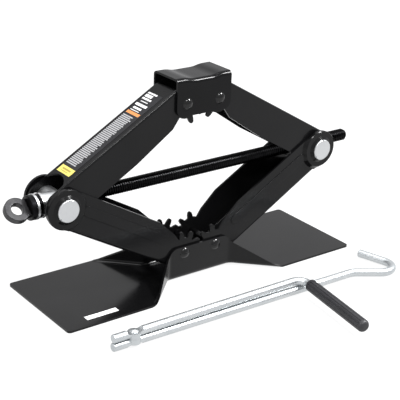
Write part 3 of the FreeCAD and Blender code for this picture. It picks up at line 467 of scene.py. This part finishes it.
LABEL_EDGE = 12.6
arm_patches = [
    (26.6, 27.6, -6.0, 7.0, BROWN),
    (29.0, 31.2, -8.0, 8.0, BROWN),
    (24.4, 33.9, -LABEL_EDGE, LABEL_EDGE, YELLOW),
    (125.0, 129.0, -11.0, LABEL_EDGE, ORANGE),
    (130.6, 131.4, -5.0, 11.0, WHITE),
    (133.5, 136.0, -4.5, 10.0, WHITE),
    (138.7, 142.0, -8.0, LABEL_EDGE, WHITE),
    (145.3, 146.2, -3.0, 10.0, WHITE),
    (149.0, 151.4, -4.0, LABEL_EDGE, WHITE),
    (153.0, 157.0, 0.0, LABEL_EDGE, WHITE),
    (158.4, 160.6, -4.0, LABEL_EDGE, WHITE),
]
PRINT_ROWS = 34
PRINT_START = 38.0
PRINT_PITCH = 2.5
PRINT_HEIGHT = 1.5
PRINT_END = -6.0
PRINT_RAG = 2.0
for row in range(PRINT_ROWS):
    x = PRINT_START + PRINT_PITCH * row
    ragged_end = PRINT_END + PRINT_RAG * math.sin(2.3 * row) * math.cos(0.7 * row)
    arm_patches.append((x, x + PRINT_HEIGHT, round(ragged_end), LABEL_EDGE, GREY))
arm_patches = [tuple(v * MM for v in p[:4]) + (p[4],) for p in arm_patches]
inks = [white_ink, grey_ink, orange_ink, yellow_ink, brown_ink]
arm_sticker = sticker("arm_sticker", label_low, label_high, arm_patches, inks, sticker_film, arm_matrix)
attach(arm_sticker, "upper_left")
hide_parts("arm_label")
print("arm sticker,", len(arm_sticker.data.polygons), "faces")

# %% Sticker on the left wing
wing_low, wing_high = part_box("base_label")
middle_y = (wing_low.y + wing_high.y) / 2
LINE_INSET = 3 * MM
LINE_HALF_WIDTH = 0.6 * MM
LINE_INK = 1
wing_patches = [(wing_low.x + LINE_INSET, wing_high.x - LINE_INSET,
                 middle_y - LINE_HALF_WIDTH, middle_y + LINE_HALF_WIDTH, LINE_INK)]
wing_sticker = sticker("wing_sticker", wing_low, wing_high, wing_patches, [grey_ink], white_ink, Matrix())
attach(wing_sticker, "base")
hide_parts("base_label")
print("wing sticker,", len(wing_sticker.data.polygons), "faces")

# %% [markdown]
# The studio is a pale floor under large soft lights.  The floor glows a little by itself, so
# that shadows on it stay faint.  The sky is dimmer near the horizon than overhead, which keeps
# the upright black faces dark and lets the level ones pick up some light.

# %% Floor
FLOOR_SIZE = 8.0
FLOOR_DROP = 0.2 * MM
FLOOR_GLOW = 0.86
bm = bmesh.new()
bmesh.ops.create_grid(bm, x_segments=1, y_segments=1, size=FLOOR_SIZE)
bmesh.ops.translate(bm, verts=bm.verts, vec=(0, 0, -FLOOR_DROP))
floor_material, shader = new_material("pale_floor")
tint(floor_material, noise(floor_material, 2.0), shader, (0.11, 0.11, 0.11), (0.12, 0.12, 0.12))
shader.inputs["Roughness"].default_value = 0.9
shader.inputs["Emission Color"].default_value = (1, 1, 1, 1)
shader.inputs["Emission Strength"].default_value = FLOOR_GLOW
floor = finish_mesh(bm, "floor", floor_material)
print("floor", 2 * FLOOR_SIZE, "m square")

# %% Soft lights
def soft_box(name, place, target, width, height, radiance):
    """Rectangular light that faces a target; radiance is what a mirror would show of it."""
    data = bpy.data.lights.new(name, "AREA")
    data.shape = "RECTANGLE"
    data.size = width
    data.size_y = height
    data.energy = radiance * math.pi * width * height
    light = bpy.data.objects.new(name, data)
    aim = (Vector(target) - Vector(place)).to_track_quat("-Z", "Y")
    light.matrix_world = Matrix.Translation(place) @ aim.to_matrix().to_4x4()
    bpy.context.scene.collection.objects.link(light)
    return light


MIDDLE = (0, 0, 0.12)
soft_box("key_light", (1.2, -0.85, 1.6), MIDDLE, 0.5, 0.35, 110.0)
soft_box("edge_light", (-0.24, -1.35, 1.84), MIDDLE, 0.5, 0.2, 45.0)
soft_box("overhead_light", (-0.1, 0.3, 2.2), MIDDLE, 1.8, 1.4, 3.0)
soft_box("left_light", (-1.9, -0.4, 1.2), MIDDLE, 0.6, 1.2, 6.0)
print("four soft lights")

# %% Sky
world = bpy.data.worlds.new("studio_sky")
world.use_nodes = True
bpy.context.scene.world = world
sky = world.node_tree
sky_place = sky.nodes.new("ShaderNodeTexCoord")
sky_split = sky.nodes.new("ShaderNodeSeparateXYZ")
sky_ramp = sky.nodes.new("ShaderNodeValToRGB")
sky.links.new(sky_place.outputs["Generated"], sky_split.inputs["Vector"])
sky.links.new(sky_split.outputs["Z"], sky_ramp.inputs["Fac"])
sky.links.new(sky_ramp.outputs["Color"], sky.nodes["Background"].inputs["Color"])
ramp = sky_ramp.color_ramp
ramp.elements[0].position = 0.0
ramp.elements[0].color = (0.75, 0.75, 0.76, 1)
ramp.elements[1].position = 0.8
ramp.elements[1].color = (1.0, 1.0, 1.01, 1)
sky.nodes["Background"].inputs["Strength"].default_value = 1.0
bpy.context.scene.view_settings.view_transform = "Standard"
print("sky from", tuple(ramp.elements[0].color)[:3], "to", tuple(ramp.elements[1].color)[:3])
